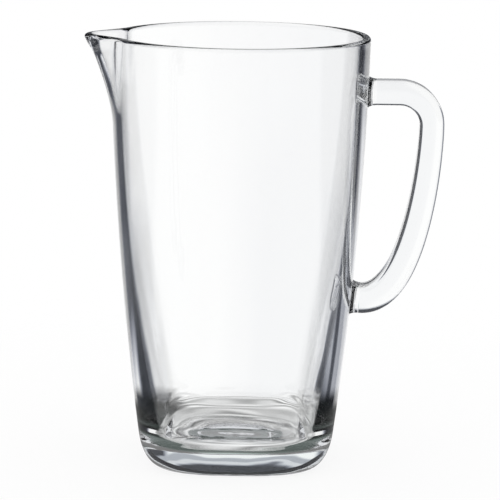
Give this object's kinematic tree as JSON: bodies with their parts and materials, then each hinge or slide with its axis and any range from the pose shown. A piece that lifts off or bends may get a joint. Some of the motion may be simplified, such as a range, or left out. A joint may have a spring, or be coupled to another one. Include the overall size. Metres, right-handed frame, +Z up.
{
  "type": "beer pitcher",
  "caption": "Clear heavy glass pitcher, square at the foot and round at the rim, with a pulled pouring lip and a solid glass handle fused to the wall, for serving beer.",
  "frame": {"origin": "on the table, on the vessel's axis, at the middle of the foot ring that the pitcher stands on", "axes": "+Z up along the vessel's axis, +X towards the handle, the pouring lip points to -X"},
  "size_m": [0.1941, 0.14, 0.233],
  "materials": {
    "clear_glass": "fire-polished clear soda-lime glass with a faint green-grey tint where it is thick"
  },
  "bodies": {
    "root": {"vessel": "clear_glass", "handle": "clear_glass", "upper_weld": "clear_glass", "lower_weld": "clear_glass"}
  },
  "joints": []
}
